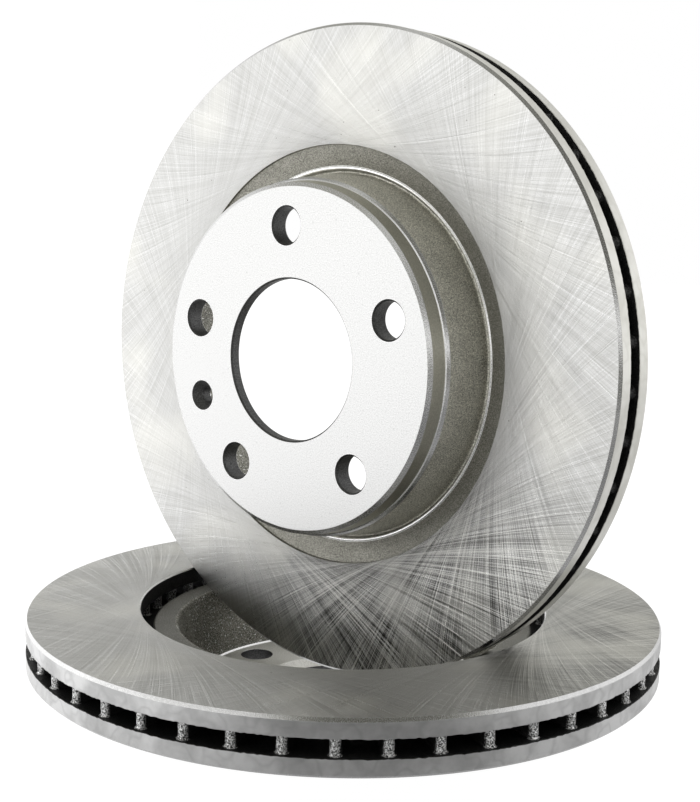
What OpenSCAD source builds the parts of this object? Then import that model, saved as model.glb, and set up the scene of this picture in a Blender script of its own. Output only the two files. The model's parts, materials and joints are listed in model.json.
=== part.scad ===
// Axle pair of ventilated front brake discs, as they come out of the box.
// One disc lies with its wheel side down, and the other stands on its rim in the first one's bowl.
// Frame: origin on the floor at the lying disc's axis, +Z up. The standing disc's wheel side faces -Y.
// Both discs are the same iron casting: a hat, two friction rings and the vanes between the rings.

/* [Friction rings] */
// Outer diameter of the disc
disc_d = 280; // [272:1:288]
// Thickness over both friction faces, when new
disc_t = 22; // [21:0.5:24]
// Thickness of the ring on the wheel side, which carries the hat
wheel_ring_t = 7.4; // [7:0.1:8]
// Thickness of the ring on the car side
car_ring_t = 7.6; // [7:0.1:8]
// Inner diameter of both friction faces
ring_bore_d = 181; // [179:0.5:184]
// Chamfer on the two outer edges of the disc
rim_chamfer = 1.2; // [0.5:0.1:2]

/* [Vanes] */
// Number of straight vanes between the rings
vane_count = 46; // [36:1:48]
// Width of a vane at its waist
vane_w = 3.6; // [3:0.1:4]
// Width of a vane's rounded ends
vane_end_w = 4.3; // [4:0.1:6]
// How far the vanes' outer ends stay inside the rim
vane_inset = 1.8; // [0.5:0.1:3]

/* [Hat] */
// Overall height of the disc, from the wheel face to the car side's friction face
disc_h = 47; // [45:0.5:49]
// Diameter of the flat wheel face
hat_face_d = 144; // [142:0.5:146]
// Thickness of the hat's plate at the bolt holes
plate_t = 8; // [7:0.5:9]
// Radius of the hub's space at the bottom of the bowl
bowl_floor_r = 68; // [66:0.5:69]
// Radius of the lip's inner edge at the mouth of the bowl
lip_r = 73.8; // [73:0.1:75]
// Depth of the lip below the car side's friction face
lip_depth = 8; // [7:0.5:9]

/* [Fixing] */
// Diameter of the hub bore
bore_d = 68; // [60:0.1:70]
// Number of wheel bolt holes
bolt_count = 5; // [4:1:6]
// Diameter of the wheel bolt circle
bolt_circle_d = 112; // [110:0.5:114]
// Diameter of a wheel bolt hole
bolt_hole_d = 15.3; // [13:0.1:16]
// Diameter of the locating screw's hole
screw_d = 6.6; // [6:0.1:8]
// Diameter of the countersink for the locating screw
screw_head_d = 13.4; // [12:0.1:15]

/* [Pair] */
// How far the standing disc's wheel-side friction face is in front of the lying disc's axis
stand_y = 12.5; // [8:0.5:16]
// Gap between the standing disc's rim and the lip it stands on
stand_gap = 0.3; // [0.2:0.1:1]
// Turn of the lying disc about its own axis
lying_turn = -162; // [-180:1:180]

/* [Hidden] */
$fn = 180;

disc_r = disc_d / 2;
ring_bore_r = ring_bore_d / 2;
bore_r = bore_d / 2;
hat_face_r = hat_face_d / 2;

// heights above the wheel face
wheel_face_z = disc_h - disc_t;
vent_low_z = wheel_face_z + wheel_ring_t;
vent_high_z = disc_h - car_ring_t;
lip_z = disc_h - lip_depth;
vent_gap = vent_high_z - vent_low_z;

// hat: turned band at the wheel face, then the as-cast flank down to the groove
band_chamfer = [1.8, 1.2];
band_r = hat_face_r + band_chamfer[0];
band_h = 8;
band_taper = 0.6;
ledge = [1, 0.8];
flank_foot_r = hat_face_r + 6.6;
groove_edge_r = hat_face_r + 8.25;
groove_edge_z = wheel_face_z + 5;
groove_step = 1;
groove_top = [ring_bore_r - 0.9, wheel_face_z + 1.7];
ring_edge_drop = 1.3;

// bowl: lip around its mouth, tapered wall, turned floor
lip_out_r = lip_r + 11.2;
lip_round = 1.5;
wall_foot_h = 2;
ring_bore_chamfer = 0.6;

// hub bore: a short land between its two chamfers
bore_chamfer_out = 0.7;
bore_chamfer_in = 3.5;
hole_chamfer = 0.7;

bolt_turn = -92.3;
screw_turn = bolt_turn - 180 * 3 / bolt_count;
vane_turn = 1.8;
vane_in_r = ring_bore_r + 2.5;

// where the standing disc's rim meets the lip's edge, and so how high its axis is
contact_y = stand_y - rim_chamfer;
contact_x = sqrt(lip_r * lip_r - contact_y * contact_y);
stand_z = lip_z + sqrt(disc_r * disc_r - contact_x * contact_x) + stand_gap;

cut = 0.1;

// half section of the casting with the vent left solid: x is the radius, y the height
module section() {
    polygon([
        [bore_r + bore_chamfer_out, 0],
        [hat_face_r, 0],
        [band_r, band_chamfer[1]],
        [band_r + band_taper, band_h],
        [band_r + band_taper + ledge[0], band_h + ledge[1]],
        [flank_foot_r, groove_edge_z],
        [flank_foot_r + groove_step, groove_edge_z + groove_step],
        [groove_edge_r, groove_edge_z + groove_step],
        [groove_edge_r, groove_edge_z],
        groove_top,
        [ring_bore_r, wheel_face_z + ring_edge_drop],
        [ring_bore_r, wheel_face_z],
        [disc_r - rim_chamfer, wheel_face_z],
        [disc_r, wheel_face_z + rim_chamfer],
        [disc_r, disc_h - rim_chamfer],
        [disc_r - rim_chamfer, disc_h],
        [ring_bore_r + ring_bore_chamfer, disc_h],
        [ring_bore_r, disc_h - ring_bore_chamfer],
        [ring_bore_r, vent_high_z],
        [ring_bore_r, vent_low_z],
        [lip_out_r, vent_low_z],
        [lip_out_r, lip_z - lip_round],
        [lip_out_r - lip_round, lip_z],
        [lip_r, lip_z],
        [lip_r - lip_round / 2, lip_z - lip_round],
        [bowl_floor_r + wall_foot_h / 2, plate_t + wall_foot_h],
        [bowl_floor_r, plate_t],
        [bore_r + bore_chamfer_in, plate_t],
        [bore_r, plate_t - bore_chamfer_in],
        [bore_r, bore_chamfer_out]
    ]);
}

// ring-shaped gap between the two friction rings
module vent() {
    translate([0, 0, vent_low_z])
        difference() {
            cylinder(r = disc_r + cut, h = vent_gap);
            translate([0, 0, -cut])
                cylinder(r = ring_bore_r - cut, h = vent_gap + 2 * cut);
        }
}

// one straight vane with rounded, thicker ends, reaching a little into both rings
module vane() {
    end_r = vane_end_w / 2;
    inner = vane_in_r + end_r;
    outer = disc_r - vane_inset - end_r;
    translate([0, 0, vent_low_z - cut])
        linear_extrude(vent_gap + 2 * cut) {
            translate([inner, -vane_w / 2])
                square([outer - inner, vane_w]);
            translate([inner, 0])
                circle(end_r, $fn = 48);
            translate([outer, 0])
                circle(end_r, $fn = 48);
        }
}

// wheel bolt hole with a light chamfer on the wheel face
module bolt_hole() {
    hole_r = bolt_hole_d / 2;
    translate([0, 0, -cut])
        cylinder(r = hole_r, h = plate_t + 2 * cut, $fn = 72);
    translate([0, 0, -cut])
        cylinder(r1 = hole_r + hole_chamfer + cut, r2 = hole_r, h = hole_chamfer + cut, $fn = 72);
}

// locating screw's hole, countersunk at 90 degrees from the wheel face
module screw_hole() {
    sink = (screw_head_d - screw_d) / 2;
    translate([0, 0, -cut])
        cylinder(d = screw_d, h = plate_t + 2 * cut, $fn = 72);
    translate([0, 0, -cut])
        cylinder(r1 = screw_head_d / 2 + cut, r2 = screw_d / 2, h = sink + cut, $fn = 72);
}

// one whole disc, with its wheel face on z = 0 and its bowl open upwards
module disc() {
    difference() {
        union() {
            difference() {
                rotate_extrude()
                    section();
                vent();
            }
            for (i = [0 : vane_count - 1])
                rotate([0, 0, vane_turn + i * 360 / vane_count])
                    vane();
        }
        for (i = [0 : bolt_count - 1])
            rotate([0, 0, bolt_turn + i * 360 / bolt_count])
                translate([bolt_circle_d / 2, 0, 0])
                    bolt_hole();
        rotate([0, 0, screw_turn])
            translate([bolt_circle_d / 2, 0, 0])
                screw_hole();
    }
}

module lying_disc() {
    color("darkgray")
        rotate([0, 0, lying_turn])
            disc();
}

module standing_disc() {
    color("lightgray")
        translate([0, -stand_y - wheel_face_z, stand_z])
            rotate([-90, 0, 0])
                disc();
}

lying_disc();
standing_disc();
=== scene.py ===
"""Finished look of an axle pair of ventilated brake discs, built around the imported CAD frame."""

import json
import math

import bmesh
import bpy
from mathutils import Matrix, Vector, noise
from mathutils.geometry import delaunay_2d_cdt


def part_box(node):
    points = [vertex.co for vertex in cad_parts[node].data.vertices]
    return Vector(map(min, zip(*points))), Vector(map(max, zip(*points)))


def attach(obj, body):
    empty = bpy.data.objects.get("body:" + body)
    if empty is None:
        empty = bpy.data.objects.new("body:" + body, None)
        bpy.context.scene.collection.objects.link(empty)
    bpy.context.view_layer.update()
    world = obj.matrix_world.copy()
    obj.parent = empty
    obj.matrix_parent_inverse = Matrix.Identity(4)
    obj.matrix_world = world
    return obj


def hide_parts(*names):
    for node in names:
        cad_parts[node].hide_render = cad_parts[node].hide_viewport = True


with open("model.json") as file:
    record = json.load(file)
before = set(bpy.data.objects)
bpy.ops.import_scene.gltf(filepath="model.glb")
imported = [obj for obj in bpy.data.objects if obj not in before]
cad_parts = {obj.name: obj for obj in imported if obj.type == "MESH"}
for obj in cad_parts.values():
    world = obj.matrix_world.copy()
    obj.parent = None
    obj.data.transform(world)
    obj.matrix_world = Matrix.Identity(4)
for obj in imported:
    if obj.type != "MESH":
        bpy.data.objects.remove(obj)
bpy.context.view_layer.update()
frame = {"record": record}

MM = 0.001
MOUNTS = {mount["name"]: mount for mount in frame["record"]["mounts"]}

# ---- sizes, in millimetres; a disc's own frame has its wheel face at 0 and its bowl open upwards ----
low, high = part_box("lying_disc")
DISC_H = (high.z - low.z) / MM
DISC_R = 140.0
WHEEL_RING_T = 7.4
CAR_RING_T = 7.6
DISC_T = 22.0
FACE_Z = DISC_H - DISC_T
VENT_LOW = FACE_Z + WHEEL_RING_T
VENT_HIGH = DISC_H - CAR_RING_T
RING_BORE_R = 90.5
HAT_FACE_R = 72.0
LIP_R = 73.8
LIP_OUT_R = 85.0
LIP_DEPTH = 8.0
LIP_Z = DISC_H - LIP_DEPTH
PLATE_T = 8.0
BOWL_FLOOR_R = 68.0
BORE_R = MOUNTS["standing_hub_bore"]["dims"]["r_mm"]
BOLT_CIRCLE_R = MOUNTS["standing_wheel_bolts"]["dims"]["pcd_mm"] / 2
BOLT_HOLE_R = MOUNTS["standing_wheel_bolts"]["dims"]["hole_r_mm"]
SCREW_R = MOUNTS["standing_locating_screw"]["dims"]["r_mm"]
SCREW_HEAD_R = 6.7
RIM_CHAMFER = 1.2
HOLE_CHAMFER = 0.7
BORE_CHAMFER_OUT = 0.7
BORE_CHAMFER_IN = 3.5
BOLT_COUNT = 5
BOLT_TURN = -92.3
SCREW_TURN = BOLT_TURN - 180 * 3 / BOLT_COUNT
VANE_COUNT = 46
VANE_TURN = 1.8
NICKED_TURN = 152.0
LYING_TURN = -162.0

# ---- mesh resolution ----
RIM_STEPS = VANE_COUNT * 16
HAT_STEPS = VANE_COUNT * 8
BORE_STEPS = 260
HOLE_STEPS = 72
FILLET_STEP = math.radians(25)
SKIN_SEED = 7
INSIDE_LOOPS = 1  # delaunay_2d_cdt's output type: only the triangles inside the loops

# ---- finish zones, which are also the order of the material slots ----
GROUND, RIM, CHAMFER, CAST, GROOVE, BOWL, VENT, VANE, TURNED, HUB, DRILLED, BAND, EDGE = range(13)
AS_CAST = (CAST, GROOVE, BOWL, VENT)


def fillet(before, corner, after, radius):
    """The points that round one corner of a profile, or just the corner where the radius is 0."""
    here = Vector(corner)
    into = (Vector(before) - here).normalized()
    out = (Vector(after) - here).normalized()
    turn = math.pi - into.angle(out)
    if radius <= 0 or turn < 0.02:
        return [here]
    reach = radius * math.tan(turn / 2)
    centre = here + (into + out).normalized() * (radius / math.cos(turn / 2))
    first = here + into * reach - centre
    steps = max(2, math.ceil(turn / FILLET_STEP))
    sign = 1 if first.cross(here + out * reach - centre) > 0 else -1
    points = []
    for i in range(steps + 1):
        angle = sign * turn * i / steps
        turned = Matrix.Rotation(angle, 2) @ first
        points.append(centre + turned)
    return points


def profile(corners, finest=None):
    """A rounded outline from (radius, height, fillet radius, zone) corners.

    Returns its points, and a zone for each step between them. As-cast steps are no longer than finest.
    """
    points = []
    zones = []
    for i, (x, z, radius, zone) in enumerate(corners):
        inner = 0 < i < len(corners) - 1
        if inner:
            run = fillet(corners[i - 1][:2], (x, z), corners[i + 1][:2], radius)
        else:
            run = [Vector((x, z))]
        for point in run:
            points.append(point)
            zones.append(zone)
    if finest is None:
        return points, zones
    fine_points = []
    fine_zones = []
    for a, b, zone in zip(points, points[1:], zones):
        parts = max(1, math.ceil((b - a).length / finest)) if zone in AS_CAST else 1
        for k in range(parts):
            fine_points.append(a.lerp(b, k / parts))
            fine_zones.append(zone)
    fine_points.append(points[-1])
    fine_zones.append(zones[-1])
    return fine_points, fine_zones


def within(point, outline):
    """True where a point in plan lies inside a closed outline."""
    inside = False
    for a, b in zip(outline, outline[1:] + outline[:1]):
        if (a.y > point.y) != (b.y > point.y):
            if point.x < a.x + (point.y - a.y) * (b.x - a.x) / (b.y - a.y):
                inside = not inside
    return inside


class Shell:
    """Vertices and faces of one closed casting, in millimetres, with a finish zone for each face."""

    def __init__(self):
        self.vertices = []
        self.faces = []
        self.zones = []

    def ring(self, radius, z, steps, centre=(0.0, 0.0)):
        """A level circle of vertices."""
        start = len(self.vertices)
        for i in range(steps):
            angle = math.tau * i / steps
            x = centre[0] + radius * math.cos(angle)
            y = centre[1] + radius * math.sin(angle)
            self.vertices.append(Vector((x, y, z)))
        return list(range(start, start + steps))

    def bridge(self, a, b, zone):
        """Quads between two rings of the same number of vertices."""
        count = len(a)
        for i in range(count):
            j = (i + 1) % count
            self.faces.append((a[i], a[j], b[j], b[i]))
            self.zones.append(zone)

    def lathe(self, corners, steps, centre=(0.0, 0.0), finest=None):
        """A turned surface. Returns its first and last rings."""
        points, zones = profile(corners, finest)
        rings = [self.ring(point.x, point.y, steps, centre) for point in points]
        for a, b, zone in zip(rings, rings[1:], zones):
            self.bridge(a, b, zone)
        return rings[0], rings[-1]

    def fill(self, outer, holes, zone):
        """A flat face between an outer ring and the holes in it, on the rings' own vertices."""
        loops = [outer] + holes
        index = [i for loop in loops for i in loop]
        points = [self.vertices[i].xy for i in index]
        edges = []
        start = 0
        for loop in loops:
            count = len(loop)
            edges += [(start + i, start + (i + 1) % count) for i in range(count)]
            start += count
        result = delaunay_2d_cdt(points, edges, [], INSIDE_LOOPS, 1e-7)
        source = [origin[0] for origin in result[3]]
        owner = [k for k, loop in enumerate(loops) for _ in loop]
        outlines = [[self.vertices[i].xy for i in loop] for loop in loops]
        for face in result[2]:
            corners = [source[i] for i in face]
            owners = {owner[i] for i in corners}
            if len(owners) == 1 and 0 not in owners:
                middle = (points[corners[0]] + points[corners[1]] + points[corners[2]]) / 3
                if within(middle, outlines[owners.pop()]):
                    continue
            self.faces.append(tuple(index[i] for i in corners))
            self.zones.append(zone)

    def build(self, name):
        """One Blender mesh in metres, with its seams closed and its normals outwards."""
        mesh = bpy.data.meshes.new(name)
        mesh.from_pydata([v * MM for v in self.vertices], [], self.faces)
        mesh.polygons.foreach_set("material_index", self.zones)
        work = bmesh.new()
        work.from_mesh(mesh)
        bmesh.ops.remove_doubles(work, verts=work.verts, dist=1e-6)
        bmesh.ops.recalc_face_normals(work, faces=work.faces)
        work.to_mesh(mesh)
        work.free()
        return mesh


def vane_outline(grown):
    """One vane's outline in plan, along +X: a slim waist and full round ends, all grown sideways."""
    inner = 95.2
    outer = 136.1
    waist = 1.75
    end = 2.1
    straight = 8
    round_steps = 7
    points = []
    for side in (1, -1):
        centre = outer if side > 0 else inner
        start = -90 if side > 0 else 90
        for i in range(round_steps + 1):
            angle = math.radians(start + 180 * i / round_steps)
            reach = end + grown
            x = min(centre + reach * math.cos(angle), DISC_R - 0.65)
            points.append(Vector((x, reach * math.sin(angle))))
        for i in range(1, straight):
            share = i / straight
            x = outer + (inner - outer) * share
            half = waist + (end - waist) * abs(2 * share - 1) ** 3 + grown
            if side > 0:
                points.append(Vector((x, half)))
            else:
                points.append(Vector((inner + outer - x, -half)))
    return points


def add_vanes(shell):
    """Every vane's wall, flared into both rings. Returns its loops on the lower and the upper ring."""
    flare = 0.8
    flare_steps = 4
    middle_steps = 4
    levels = []
    for i in range(flare_steps):
        angle = math.pi / 2 * i / flare_steps
        levels.append((VENT_LOW + flare * (1 - math.cos(angle)), flare * (1 - math.sin(angle))))
    low_z = VENT_LOW + flare
    high_z = VENT_HIGH - flare
    for i in range(middle_steps + 1):
        levels.append((low_z + (high_z - low_z) * i / middle_steps, 0.0))
    levels += [(VENT_LOW + VENT_HIGH - z, grown) for z, grown in reversed(levels[:flare_steps])]
    lower = []
    upper = []
    for vane in range(VANE_COUNT):
        turn = Matrix.Rotation(math.radians(VANE_TURN) + math.tau * vane / VANE_COUNT, 2)
        rings = []
        for z, grown in levels:
            start = len(shell.vertices)
            outline = [turn @ point for point in vane_outline(grown)]
            shell.vertices += [Vector((p.x, p.y, z)) for p in outline]
            rings.append(list(range(start, start + len(outline))))
        for a, b in zip(rings, rings[1:]):
            shell.bridge(a, b, VANE)
        lower.append(rings[0])
        upper.append(rings[-1])
    return lower, upper


def add_hole(shell, radius, angle, sink, sink_depth):
    """A drilled hole through the hat's plate. Returns its loops on the wheel face and on the hub face."""
    turn = math.radians(angle)
    centre = (BOLT_CIRCLE_R * math.cos(turn), BOLT_CIRCLE_R * math.sin(turn))
    corners = [
        (sink + 0.12, 0.0, 0.0, EDGE),
        (sink, 0.0, 0.1, DRILLED),
        (radius, sink_depth, 0.15, DRILLED),
        (radius, PLATE_T, 0.12, EDGE),
        (radius + 0.15, PLATE_T, 0.0, EDGE),
    ]
    return shell.lathe(corners, HOLE_STEPS, centre)


def disc_mesh(name):
    """The whole casting as one closed mesh."""
    shell = Shell()
    z = FACE_Z
    wheel_rim = [
        (DISC_R - 1.5, z, 0.0, GROUND),
        (DISC_R - RIM_CHAMFER, z, 0.15, CHAMFER),
        (DISC_R, z + RIM_CHAMFER, 0.2, RIM),
        (DISC_R, VENT_LOW, 0.25, VENT),
        (DISC_R - 0.5, VENT_LOW, 0.0, VENT),
    ]
    face_out, vent_low_out = shell.lathe(wheel_rim, RIM_STEPS)
    car_rim = [
        (DISC_R - 0.5, VENT_HIGH, 0.0, VENT),
        (DISC_R, VENT_HIGH, 0.25, RIM),
        (DISC_R, DISC_H - 2.3, 0.0, RIM),
        (DISC_R, DISC_H - 1.4, 0.15, CHAMFER),
        (DISC_R - 0.8, DISC_H, 0.1, GROUND),
        (DISC_R - 1.5, DISC_H, 0.0, GROUND),
    ]
    vent_high_out, top_out = shell.lathe(car_rim, RIM_STEPS)
    # from the wheel side's friction face in to the hat: the groove and its scraped edge, the cast flank,
    # the ledge, the turned band and the chamfer round the wheel face
    groove = [
        (RING_BORE_R + 0.3, z, 0.0, GROUND),
        (RING_BORE_R, z, 0.1, GROOVE),
        (RING_BORE_R, z + 1.3, 0.25, GROOVE),
        (RING_BORE_R - 0.9, z + 1.7, 0.4, GROOVE),
        (81.7, z + 4.6, 0.2, EDGE),
        (81.3, z + 4.3, 0.2, EDGE),
        (80.6, z + 4.3, 0.2, EDGE),
        (80.3, z + 5.3, 0.3, GROOVE),
        (79.6, z + 6.2, 0.8, GROOVE),
        (78.7, z + 6.2, 0.9, CAST),
        (76.0, 9.4, 0.5, CHAMFER),
        (75.2, 8.2, 0.2, CHAMFER),
        (74.5, 7.9, 0.25, BAND),
        (73.8, 1.2, 0.15, CHAMFER),
        (HAT_FACE_R, 0.0, 0.15, TURNED),
        (HAT_FACE_R - 0.4, 0.0, 0.0, TURNED),
    ]
    face_in, wheel_out = shell.lathe(groove, HAT_STEPS, finest=1.6)
    # the car side ring's bore
    car_bore = [
        (RING_BORE_R + 1.0, DISC_H, 0.0, GROUND),
        (RING_BORE_R + 0.6, DISC_H, 0.1, EDGE),
        (RING_BORE_R, DISC_H - 0.6, 0.15, VENT),
        (RING_BORE_R, VENT_HIGH, 0.5, VENT),
        (RING_BORE_R + 0.9, VENT_HIGH, 0.0, VENT),
    ]
    top_in, vent_high_in = shell.lathe(car_bore, HAT_STEPS, finest=1.6)
    # the wheel side ring's inner end, the lip round the bowl's mouth, and the bowl's wall and floor
    wall = [
        (LIP_OUT_R + 2.0, VENT_LOW, 0.0, VENT),
        (LIP_OUT_R, VENT_LOW, 1.6, VENT),
        (LIP_OUT_R, LIP_Z, 1.3, CAST),
        (LIP_R, LIP_Z, 1.8, BOWL),
        (BOWL_FLOOR_R + 0.9, PLATE_T + 2.2, 1.2, BOWL),
        (BOWL_FLOOR_R, PLATE_T + 0.6, 0.3, EDGE),
        (BOWL_FLOOR_R - 0.8, PLATE_T, 0.2, HUB),
        (BOWL_FLOOR_R - 1.2, PLATE_T, 0.0, HUB),
    ]
    vent_low_in, hub_out = shell.lathe(wall, HAT_STEPS, finest=1.6)
    bore = [
        (BORE_R + BORE_CHAMFER_IN + 0.3, PLATE_T, 0.0, HUB),
        (BORE_R + BORE_CHAMFER_IN, PLATE_T, 0.12, HUB),
        (BORE_R, PLATE_T - BORE_CHAMFER_IN, 0.2, DRILLED),
        (BORE_R, BORE_CHAMFER_OUT, 0.12, DRILLED),
        (BORE_R + BORE_CHAMFER_OUT, 0.0, 0.12, TURNED),
        (BORE_R + 1.0, 0.0, 0.0, TURNED),
    ]
    hub_in, wheel_in = shell.lathe(bore, BORE_STEPS)
    holes = []
    for i in range(BOLT_COUNT):
        angle = BOLT_TURN + 360 * i / BOLT_COUNT
        holes.append((BOLT_HOLE_R, angle, BOLT_HOLE_R + HOLE_CHAMFER, HOLE_CHAMFER))
    holes.append((SCREW_R, SCREW_TURN, SCREW_HEAD_R, SCREW_HEAD_R - SCREW_R))
    wheel_holes = [wheel_in]
    hub_holes = [hub_in]
    for hole in holes:
        on_wheel, on_hub = add_hole(shell, *hole)
        wheel_holes.append(on_wheel)
        hub_holes.append(on_hub)
    lower, upper = add_vanes(shell)
    shell.fill(face_out, [face_in], GROUND)
    shell.fill(top_out, [top_in], GROUND)
    shell.fill(vent_low_out, [vent_low_in] + lower, VENT)
    shell.fill(vent_high_out, [vent_high_in] + upper, VENT)
    shell.fill(wheel_out, wheel_holes, TURNED)
    shell.fill(hub_out, hub_holes, HUB)
    roughen(shell)
    nick(shell)
    return shell.build(name)


def roughen(shell):
    """Moves the as-cast skin a little and leaves the vent's mouth ragged, as sand casting does."""
    amount = 0.13
    ragged = 0.36
    mouth = 0.7
    beside = 0.3
    touched = set()
    machined = set()
    for face, zone in zip(shell.faces, shell.zones):
        rough = zone in AS_CAST or zone == VANE
        (touched if rough else machined).update(face)
    noise.seed_set(SKIN_SEED)  # without a seed, noise_vector gives another skin in every run
    for i in sorted(touched - machined):
        point = shell.vertices[i]
        coarse = noise.noise_vector(point * 0.35)
        fine = noise.noise_vector(point * 1.3)
        shell.vertices[i] = point + (coarse + fine * 0.6) * amount
    for point in shell.vertices:
        if point.xy.length > DISC_R - mouth and VENT_LOW - beside < point.z < VENT_HIGH + beside:
            point.z += noise.noise(Vector((point.x, point.y, 0.0)) * 1.1) * ragged


def nick(shell):
    """Small handling nicks along one stretch of the car side's outer chamfer."""
    angle = math.radians(NICKED_TURN)
    middle = Vector((math.cos(angle), math.sin(angle)))
    start = 0.994
    fade = 0.004
    threshold = 0.12
    steepness = 2.6
    for point in shell.vertices:
        flat = point.xy
        if flat.length < DISC_R - 1.0 or point.z < DISC_H - 1.9:
            continue
        nearness = min(1.0, max(0.0, flat.normalized().dot(middle) - start) / fade)
        rough = noise.noise(Vector((point.x, point.y, 5.0)) * 0.8)
        depth = max(0.0, rough - threshold) * steepness * nearness
        point.x -= depth * flat.x / flat.length
        point.y -= depth * flat.y / flat.length
        point.z -= depth * 0.4


# ---- node helpers ----
def start_material(name):
    """A new material: its node tree and its one Principled shader."""
    material = bpy.data.materials.new(name)
    material.use_nodes = True
    tree = material.node_tree
    return material, tree, tree.nodes["Principled BSDF"]


def feed(tree, socket, value):
    """Sets an input from a number, a vector or another node's output."""
    if isinstance(value, bpy.types.NodeSocket):
        tree.links.new(value, socket)
    else:
        socket.default_value = value


def maths(tree, operation, *values):
    """One Math node's output."""
    node = tree.nodes.new("ShaderNodeMath")
    node.operation = operation
    for socket, value in zip(node.inputs, values):
        feed(tree, socket, value)
    return node.outputs[0]


def vectors(tree, operation, *values):
    """One Vector Math node: its vector output, or its number for a length or a dot product."""
    node = tree.nodes.new("ShaderNodeVectorMath")
    node.operation = operation
    for socket, value in zip(node.inputs, values):
        feed(tree, socket, value)
    return node.outputs["Value" if operation in ("LENGTH", "DOT_PRODUCT") else "Vector"]


def scaled(tree, vector, factor):
    """A vector times a number."""
    node = tree.nodes.new("ShaderNodeVectorMath")
    node.operation = "SCALE"
    feed(tree, node.inputs["Vector"], vector)
    feed(tree, node.inputs["Scale"], factor)
    return node.outputs["Vector"]


def parts_of(tree, vector):
    """The x, y and z of a vector."""
    node = tree.nodes.new("ShaderNodeSeparateXYZ")
    feed(tree, node.inputs[0], vector)
    return node.outputs[0], node.outputs[1], node.outputs[2]


def joined(tree, x, y, z):
    """A vector from three numbers."""
    node = tree.nodes.new("ShaderNodeCombineXYZ")
    for socket, value in zip(node.inputs, (x, y, z)):
        feed(tree, socket, value)
    return node.outputs[0]


def in_plan(tree, vector):
    """A vector with its height left out."""
    x, y, _ = parts_of(tree, vector)
    return joined(tree, x, y, 0.0)


def grain(tree, vector, scale, detail=2.0, roughness=0.5):
    """Noise about 0.5, at so many cells to a millimetre."""
    node = tree.nodes.new("ShaderNodeTexNoise")
    feed(tree, node.inputs["Vector"], vector)
    node.inputs["Scale"].default_value = scale
    node.inputs["Detail"].default_value = detail
    node.inputs["Roughness"].default_value = roughness
    return node.outputs["Fac"]


def spread(tree, value, low, high, to_low=0.0, to_high=1.0):
    """A value carried from one range to another, held at its ends."""
    node = tree.nodes.new("ShaderNodeMapRange")
    for socket, number in zip(node.inputs, (value, low, high, to_low, to_high)):
        feed(tree, socket, number)
    return node.outputs[0]


def blend(tree, factor, a, b):
    """A colour between two."""
    node = tree.nodes.new("ShaderNodeMix")
    node.data_type = "RGBA"
    feed(tree, node.inputs[0], factor)
    feed(tree, node.inputs[6], a)
    feed(tree, node.inputs[7], b)
    return node.outputs[2]


def relief(tree, height, distance, strength=1.0, under=None):
    """A bump, its height in millimetres."""
    node = tree.nodes.new("ShaderNodeBump")
    node.inputs["Strength"].default_value = strength
    node.inputs["Distance"].default_value = distance * MM
    feed(tree, node.inputs["Height"], height)
    if under is not None:
        feed(tree, node.inputs["Normal"], under)
    return node.outputs[0]


def local_mm(tree):
    """The point in the disc's own frame, in millimetres."""
    node = tree.nodes.new("ShaderNodeTexCoord")
    return scaled(tree, node.outputs["Object"], 1 / MM)


def to_world(tree, vector):
    """A direction of the disc's own frame, in the world's."""
    node = tree.nodes.new("ShaderNodeVectorTransform")
    node.vector_type = "VECTOR"
    node.convert_from = "OBJECT"
    node.convert_to = "WORLD"
    feed(tree, node.inputs[0], vector)
    return node.outputs[0]


def sector(tree, bearing, middle, edge, core):
    """1 round one bearing and 0 away from it, by the cosines of where it starts and where it is full."""
    return spread(tree, vectors(tree, "DOT_PRODUCT", bearing, middle), edge, core)


def toward(tree, level, other, share):
    """One level carried towards another."""
    return maths(tree, "MULTIPLY_ADD", maths(tree, "SUBTRACT", other, level), share, level)


def grey(level, warm=0.0):
    """A near-neutral colour: warm lowers its blue, and its green a little."""
    return (level, level * (1 - 0.15 * warm), level * (1 - warm), 1.0)


def scaled_colour(colour, factor, warm):
    """A colour made lighter or darker, and a little warmer."""
    red, green, blue, alpha = colour
    return (red * factor, green * factor * (1 - 0.15 * warm), blue * factor * (1 - warm), alpha)


# ---- materials ----
# the grinding stone's radius, how far its centre is from the axis, the circle on which its marks are
# drawn, how fast they change along an arc, and what sets the two families apart
STONE_R = 400.0
STONE_CENTRE_R = 490.0
TRACK_R = 115.0
TRACK_LIFT = 0.008
FAMILY_GAP = 40.0


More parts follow.
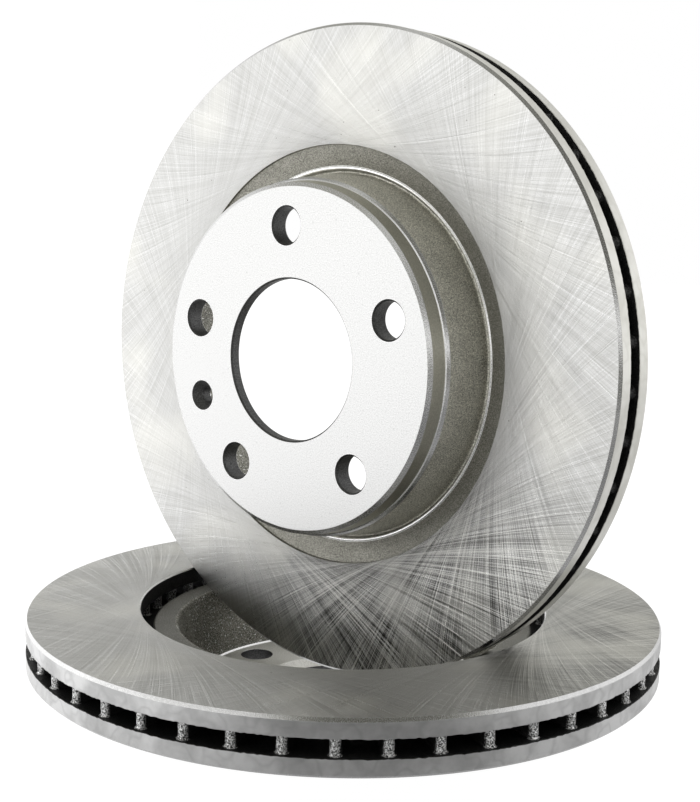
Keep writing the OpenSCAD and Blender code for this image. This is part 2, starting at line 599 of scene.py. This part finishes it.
def grinding_family(tree, flat, side, seed):
    """One family of a cup stone's arcs across the friction face.

    The stone's centre runs round the axis at STONE_CENTRE_R, so each point of the face belongs to one
    place of the centre on either side. Noise along that track draws the arcs. Returns its fine cut, its
    bundles, its single scratches, how strongly it shows, and the direction across its arcs.
    """
    radius = vectors(tree, "LENGTH", flat)
    out = vectors(tree, "NORMALIZE", flat)
    squared = maths(tree, "MULTIPLY", radius, radius)
    above = maths(tree, "ADD", squared, STONE_CENTRE_R ** 2 - STONE_R ** 2)
    below = maths(tree, "MULTIPLY", radius, 2 * STONE_CENTRE_R)
    sweep = maths(tree, "ARCCOSINE", maths(tree, "DIVIDE", above, below))
    turn = tree.nodes.new("ShaderNodeVectorRotate")
    turn.rotation_type = "Z_AXIS"
    feed(tree, turn.inputs["Vector"], out)
    feed(tree, turn.inputs["Angle"], maths(tree, "MULTIPLY", sweep, float(side)))
    centre = turn.outputs[0]
    lift = maths(tree, "MULTIPLY_ADD", radius, TRACK_LIFT, seed + FAMILY_GAP * side)
    track = vectors(tree, "ADD", scaled(tree, centre, TRACK_R), joined(tree, 0.0, 0.0, lift))
    fine = grain(tree, track, 2.6, 2.0, 0.75)
    bundle = grain(tree, track, 0.12, 3.0, 0.6)
    scratch = spread(tree, grain(tree, track, 2.4, 0.0), 0.62, 0.74)
    lead = maths(tree, "MULTIPLY_ADD", bundle, 0.3, fine)
    across = vectors(tree, "SUBTRACT", flat, scaled(tree, centre, STONE_CENTRE_R))
    return fine, bundle, scratch, lead, across


def ground_iron(name, light, dark, seed, coarse_cut_and_sheen_side):
    """Friction face: two crossed families of grinding arcs over bright iron, with faint lighter, warmer
    patches and specks.

    The cut is coarsest towards coarse_cut_and_sheen_side, a longer one more so. There, painted dark gaps
    and painted bright lines stand partly for a coarser cut and partly for a painted reflection fan of the
    scratches.
    """
    material, tree, shader = start_material(name)
    point = local_mm(tree)
    flat = in_plan(tree, point)
    fine_a, bundle_a, scratch_a, lead_a, across_a = grinding_family(tree, flat, 1, seed)
    fine_b, bundle_b, scratch_b, lead_b, across_b = grinding_family(tree, flat, -1, seed)
    across = tree.nodes.new("ShaderNodeMix")
    across.data_type = "VECTOR"
    feed(tree, across.inputs[0], maths(tree, "GREATER_THAN", lead_a, lead_b))
    feed(tree, across.inputs[4], across_b)
    feed(tree, across.inputs[5], across_a)
    feed(tree, shader.inputs["Tangent"], vectors(tree, "NORMALIZE", to_world(tree, across.outputs[1])))

    cut = maths(tree, "ADD", fine_a, fine_b)
    marked = maths(tree, "MULTIPLY_ADD", maths(tree, "ADD", bundle_a, bundle_b), 0.12, cut)
    marked = maths(tree, "MULTIPLY_ADD", maths(tree, "ADD", scratch_a, scratch_b), 0.18, marked)
    tone = spread(tree, marked, 0.82, 1.48)
    ground = blend(tree, tone, dark, light)

    # towards the coarse side: painted dark gaps and painted bright lines, partly a coarser cut, partly
    # painted highlights and dark reflections of the scratches
    out = vectors(tree, "NORMALIZE", flat)
    coarse = spread(tree, vectors(tree, "DOT_PRODUCT", out, (*coarse_cut_and_sheen_side, 0.0)), 0.66, 0.97)
    painted_dark_gaps = spread(tree, maths(tree, "MINIMUM", lead_a, lead_b), 0.54, 0.69, 1.0, 0.0)
    lines = spread(tree, maths(tree, "MAXIMUM", lead_a, lead_b), 0.70, 0.80)
    painted_gap_shade = scaled_colour(dark, 0.06, 0.08)
    painted_line_highlight = scaled_colour(light, 1.4, 0.04)
    ground = blend(tree, maths(tree, "MULTIPLY", coarse, painted_dark_gaps), ground, painted_gap_shade)
    ground = blend(tree, maths(tree, "MULTIPLY", coarse, lines), ground, painted_line_highlight)

    moved = vectors(tree, "ADD", point, (seed, 0.0, 0.0))
    # faint lighter, warmer patches at random
    warm_patches = spread(tree, grain(tree, moved, 0.03, 1.0), 0.5, 0.72, 0.0, 0.6)
    speck = spread(tree, grain(tree, point, 0.8, 0.0), 0.105, 0.125, 1.0, 0.0)
    warm_patched = blend(tree, warm_patches, ground, scaled_colour(light, 1.06, 0.06))
    feed(tree, shader.inputs["Base Color"], blend(tree, speck, warm_patched, scaled_colour(dark, 0.45, 0.1)))
    feed(tree, shader.inputs["Roughness"], spread(tree, tone, 0.0, 1.0, 0.33, 0.26))
    feed(tree, shader.inputs["Normal"], relief(tree, cut, 0.13))
    shader.inputs["Metallic"].default_value = 1.0
    shader.inputs["Anisotropic"].default_value = 0.87
    return material


def turned_rim(name, light, dark):
    """The outside diameter: fine turning lines round it, and faint oily stains."""
    material, tree, shader = start_material(name)
    point = local_mm(tree)
    x, y, z = parts_of(tree, point)
    drawn_x = maths(tree, "MULTIPLY", x, 0.02)
    drawn_y = maths(tree, "MULTIPLY", y, 0.02)
    lines = grain(tree, joined(tree, drawn_x, drawn_y, z), 5.0)
    cloud = spread(tree, grain(tree, point, 0.06, 4.0, 0.6), 0.35, 0.6, 0.4, 1.0)
    swirl = grain(tree, point, 0.10, 1.5, 0.5)
    curl = maths(tree, "ABSOLUTE", maths(tree, "SUBTRACT", swirl, 0.5))
    stain = spread(tree, curl, 0.0, 0.07, 0.66, 1.0)
    tone = maths(tree, "MULTIPLY", cloud, stain)
    feed(tree, shader.inputs["Base Color"], blend(tree, tone, dark, light))
    feed(tree, shader.inputs["Roughness"], spread(tree, lines, 0.3, 0.7, 0.3, 0.45))
    feed(tree, shader.inputs["Normal"], relief(tree, lines, 0.02))
    shader.inputs["Metallic"].default_value = 1.0
    return material


def cast_skin(name, light, dark, depth=0.22, glint=0.0):
    """Sand-cast and shot-blasted skin: salt-and-pepper grain over slow changes of tone, and some painted
    glints, white specks in the base colour.
    """
    material, tree, shader = start_material(name)
    point = local_mm(tree)
    patches = grain(tree, point, 0.08, 2.0, 0.5)
    grains = grain(tree, point, 2.1, 1.5, 0.7)
    both = maths(tree, "MULTIPLY_ADD", patches, 0.15, grains)
    tone = spread(tree, both, 0.40, 0.76)
    # painted glints: white specks in the base colour
    glints = spread(tree, grain(tree, point, 1.3, 0.0), 0.72, 0.76, 0.0, glint)
    feed(tree, shader.inputs["Base Color"], blend(tree, glints, blend(tree, tone, dark, light), grey(1.0)))
    feed(tree, shader.inputs["Roughness"], spread(tree, grains, 0.3, 0.7, 0.6, 0.42))
    feed(tree, shader.inputs["Normal"], relief(tree, grains, depth))
    shader.inputs["Metallic"].default_value = 0.9
    return material


def vane_skin(name, light, dark):
    """The vanes' skin: grains, painted light on both noses where the vent opens, and painted shade between
    them, deeper in the vent.
    """
    material, tree, shader = start_material(name)
    point = local_mm(tree)
    radius = vectors(tree, "LENGTH", in_plan(tree, point))
    grains = grain(tree, point, 1.6, 3.0, 0.65)
    outer_nose = spread(tree, radius, DISC_R - 4.0, DISC_R - 2.8)
    inner_nose = spread(tree, radius, RING_BORE_R + 4.5, RING_BORE_R + 7.0, 0.7, 0.0)
    # painted light at both noses, where the vent opens, and painted shade between them
    painted_light_at_noses = maths(tree, "MAXIMUM", outer_nose, inner_nose)
    tone = maths(tree, "MULTIPLY", spread(tree, grains, 0.42, 0.60), painted_light_at_noses)
    feed(tree, shader.inputs["Base Color"], blend(tree, tone, dark, light))
    feed(tree, shader.inputs["Roughness"], spread(tree, grains, 0.35, 0.65, 0.6, 0.35))
    feed(tree, shader.inputs["Normal"], relief(tree, grains, 0.4))
    shader.inputs["Metallic"].default_value = 0.8
    return material


def turned_face(name, light, dark):
    """A finely turned flat: faint rings about the axis, and small open pits."""
    material, tree, shader = start_material(name)
    point = local_mm(tree)
    radius = vectors(tree, "LENGTH", in_plan(tree, point))
    rings = grain(tree, joined(tree, radius, 0.0, 0.0), 3.0, 3.0, 0.6)
    speckle = grain(tree, point, 2.2, 3.0, 0.65)
    pits = spread(tree, grain(tree, point, 0.9, 2.0, 0.5), 0.27, 0.33)
    tone = maths(tree, "MULTIPLY", spread(tree, speckle, 0.3, 0.6), pits)
    feed(tree, shader.inputs["Base Color"], blend(tree, tone, dark, light))
    feed(tree, shader.inputs["Roughness"], spread(tree, speckle, 0.3, 0.7, 0.5, 0.35))
    ringed = relief(tree, rings, 0.01)
    feed(tree, shader.inputs["Normal"], relief(tree, speckle, 0.03, 1.0, ringed))
    shader.inputs["Metallic"].default_value = 1.0
    return material


def plain_cut(name, light, dark, rough, anisotropy=0.0):
    """A bored, drilled or scraped surface with a fine grain, which may run round the disc's axis."""
    material, tree, shader = start_material(name)
    point = local_mm(tree)
    speckle = grain(tree, point, 2.0, 3.0, 0.6)
    feed(tree, shader.inputs["Base Color"], blend(tree, spread(tree, speckle, 0.35, 0.65), dark, light))
    feed(tree, shader.inputs["Roughness"], spread(tree, speckle, 0.35, 0.65, rough + 0.1, rough))
    feed(tree, shader.inputs["Normal"], relief(tree, speckle, 0.05))
    feed(tree, shader.inputs["Tangent"], to_world(tree, joined(tree, 0.0, 0.0, 1.0)))
    shader.inputs["Anisotropic"].default_value = anisotropy
    shader.inputs["Metallic"].default_value = 1.0
    return material


def finishes(prefix, seed, coarse_cut_and_sheen_side, face, rim, cast, groove, vane, turned):
    """One disc's materials, in the order of the finish zones. Each tone is its (light, dark) colours."""
    return [
        ground_iron(prefix + "_ground", *face, seed, coarse_cut_and_sheen_side),
        turned_rim(prefix + "_rim", *rim),
        plain_cut(prefix + "_chamfer", grey(0.62), grey(0.50), 0.2, 0.8),
        cast_skin(prefix + "_cast", *cast),
        # the groove's skin is darker than the flank's: painted shade where the hat's flank shades the
        # groove
        cast_skin(prefix + "_groove", *groove),
        cast_skin(prefix + "_bowl", grey(0.48, 0.14), grey(0.02, 0.16), 0.6, 1.0),
        # the vent's skin is nearly black: painted shade inside the vent
        cast_skin(prefix + "_vent", grey(0.05), grey(0.02)),
        vane_skin(prefix + "_vane", *vane),
        turned_face(prefix + "_turned", *turned),
        plain_cut(prefix + "_hub", grey(0.90, 0.04), grey(0.70, 0.07), 0.6),
        plain_cut(prefix + "_drilled", grey(0.13), grey(0.05), 0.45),
        plain_cut(prefix + "_band", grey(0.54, 0.16), grey(0.38, 0.18), 0.3, 0.9),
        plain_cut(prefix + "_edge", grey(0.90), grey(0.76), 0.2),
    ]


def add_disc(name, node, turn, matrix, materials):
    """One disc in its place, standing for its CAD node."""
    mesh = disc_mesh(name)
    mesh.transform(Matrix.Rotation(math.radians(turn), 4, "Z"))
    disc = bpy.data.objects.new(name, mesh)
    bpy.context.scene.collection.objects.link(disc)
    disc.matrix_world = matrix
    for material in materials:
        mesh.materials.append(material)
    mesh.shade_smooth()
    mesh.set_sharp_from_angle(angle=math.radians(40))
    disc.modifiers.new("weighted", "WEIGHTED_NORMAL").keep_sharp = True
    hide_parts(node)
    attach(disc, node)
    return disc


# ---- the two discs ----
stand_low, stand_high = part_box("standing_disc")
stand_z = (stand_low.z + stand_high.z) / 2
standing_matrix = Matrix.Translation((0, stand_low.y, stand_z)) @ Matrix.Rotation(-math.pi / 2, 4, "X")
# The two discs are the same iron, but each zone's tones are set apart per disc, lighter or darker for how
# light falls on that disc: painted light and shade, such as the standing disc's darker vanes and the lying
# disc's darker rim.
standing_finish = finishes(
    "standing",
    seed=0.0,
    coarse_cut_and_sheen_side=(0.40, 0.92),
    face=(grey(0.58, 0.0), grey(0.38, 0.04)),
    rim=(grey(0.64, 0.06), grey(0.46, 0.10)),
    cast=(grey(0.98, 0.12), grey(0.28, 0.15)),
    groove=(grey(0.40, 0.12), grey(0.13, 0.14)),
    vane=(grey(0.10), grey(0.03)),
    turned=(grey(0.62), grey(0.44)),
)
lying_finish = finishes(
    "lying",
    seed=500.0,
    coarse_cut_and_sheen_side=(0.84, 0.21),
    face=(grey(0.54, 0.02), grey(0.28, 0.07)),
    rim=(grey(0.58), grey(0.30)),
    cast=(grey(0.27, 0.10), grey(0.09, 0.12)),
    groove=(grey(0.34, 0.14), grey(0.13, 0.16)),
    vane=(grey(0.95), grey(0.03)),
    turned=(grey(0.80), grey(0.50)),
)
add_disc("standing_iron_disc", "standing_disc", 0.0, standing_matrix, standing_finish)
add_disc("lying_iron_disc", "lying_disc", LYING_TURN, Matrix(), lying_finish)

# ---- floor: white to look at, but what the rims mirror of it is dark in front and lighter to the west ----
FLOOR_FAR = 6.0
FLOOR_NEAR = 0.75
FLOOR_DROP = 0.0002
FLOOR_WHITE = 0.98
WHITE = (1.0, 1.0, 1.0, 1.0)

floor_corners = [
    (-FLOOR_FAR, -FLOOR_NEAR, 0),
    (FLOOR_NEAR, -FLOOR_NEAR, 0),
    (FLOOR_NEAR, FLOOR_FAR, 0),
    (-FLOOR_FAR, FLOOR_FAR, 0),
]
floor_mesh = bpy.data.meshes.new("floor")
floor_mesh.from_pydata(floor_corners, [], [(0, 1, 2, 3)])
floor = bpy.data.objects.new("floor", floor_mesh)
floor.location.z = -FLOOR_DROP
bpy.context.scene.collection.objects.link(floor)
floor_material, tree, floor_shader = start_material("floor_paint")
floor_shader.inputs["Base Color"].default_value = (0.07, 0.07, 0.07, 1.0)
floor_shader.inputs["Emission Color"].default_value = WHITE
floor_shader.inputs["Roughness"].default_value = 0.9
place = tree.nodes.new("ShaderNodeTexCoord").outputs["Object"]
from_front = vectors(tree, "LENGTH", vectors(tree, "SUBTRACT", place, (0.30, -0.35, 0.0)))
westward = vectors(tree, "DOT_PRODUCT", place, (-0.8, -0.6, 0.0))
mirrored = spread(tree, from_front, 0.2, 0.45, 0.05, 0.75)
mirrored = maths(tree, "ADD", mirrored, spread(tree, westward, 0.0, 0.4, 0.0, 0.9))
looked_at = tree.nodes.new("ShaderNodeLightPath").outputs["Is Camera Ray"]
floor_light = spread(tree, looked_at, 0.0, 1.0, mirrored, FLOOR_WHITE)
feed(tree, floor_shader.inputs["Emission Strength"], floor_light)
floor_mesh.materials.append(floor_material)

# ---- studio: a bright softbox in the south-west, a dimmer back wall, a dark room with a low glow in the
# south-east, and a bright ceiling that is darker in the south-east. It looks white itself. ----
world = bpy.data.worlds.new("studio")
bpy.context.scene.world = world
world.use_nodes = True
sky = world.node_tree
direction = sky.nodes.new("ShaderNodeTexCoord").outputs["Generated"]
east, north, up = parts_of(sky, direction)
elevation = maths(sky, "ARCSINE", up)
bearing = vectors(sky, "NORMALIZE", joined(sky, east, north, 0.0))


def rising(start, end, low=0.0, high=1.0):
    """A share that changes between two elevations, in degrees."""
    return spread(sky, elevation, math.radians(start), math.radians(end), low, high)


softbox = sector(sky, bearing, (-0.65, -0.76, 0.0), 0.45, 0.9)
back = sector(sky, bearing, (-0.36, 0.933, 0.0), 0.82, 0.97)
room = sector(sky, bearing, (0.82, -0.57, 0.0), 0.70, 0.88)
west = sector(sky, bearing, (-0.94, -0.34, 0.0), -0.1, 0.7)

low_level = spread(sky, softbox, 0.0, 1.0, 1.3, 1.9)
low_level = toward(sky, low_level, 0.74, back)
upper_level = spread(sky, west, 0.0, 1.0, 1.05, 0.5)
level = toward(sky, low_level, upper_level, rising(18, 42))
glow = maths(sky, "MULTIPLY", rising(1, 4), rising(11, 15, 1.0, 0.0))
level = toward(sky, level, toward(sky, 0.14, 1.5, glow), room)
south_east = vectors(sky, "DOT_PRODUCT", direction, (0.64, -0.77, 0.0))
ceiling = spread(sky, south_east, -0.25, 0.1, 1.1, 0.22)
shade = toward(sky, level, ceiling, rising(58, 72))

seen = sky.nodes.new("ShaderNodeLightPath").outputs["Is Camera Ray"]
tint = blend(sky, spread(sky, shade, 0.2, 1.0), (1.0, 0.99, 0.84, 1.0), (1.0, 1.0, 0.99, 1.0))
backdrop = sky.nodes["Background"]
feed(sky, backdrop.inputs["Color"], blend(sky, seen, tint, WHITE))
feed(sky, backdrop.inputs["Strength"], maths(sky, "MAXIMUM", shade, seen))

# soft light from above that lights the iron without showing in its reflections
lamp = bpy.data.lights.new("wash", "SUN")
lamp.angle = math.radians(110)
lamp.energy = 2.2
wash = bpy.data.objects.new("wash", lamp)
wash.rotation_euler = (math.radians(-12), math.radians(-8), 0)
wash.visible_glossy = False
bpy.context.scene.collection.objects.link(wash)

# ---- camera ----
camera_data = bpy.data.cameras.new("camera")
camera_data.sensor_fit = "VERTICAL"
camera_data.sensor_height = 36.0
camera_data.lens = 55.3
camera_data.shift_x = 0.0306
camera_data.shift_y = 0.0125
camera = bpy.data.objects.new("camera", camera_data)
camera.location = (0.3492, -0.4153, 0.2079)
camera.rotation_euler = (math.radians(82.218), math.radians(-0.816), math.radians(41.110))
bpy.context.scene.collection.objects.link(camera)
bpy.context.scene.camera = camera
bpy.context.scene.view_settings.view_transform = "Standard"
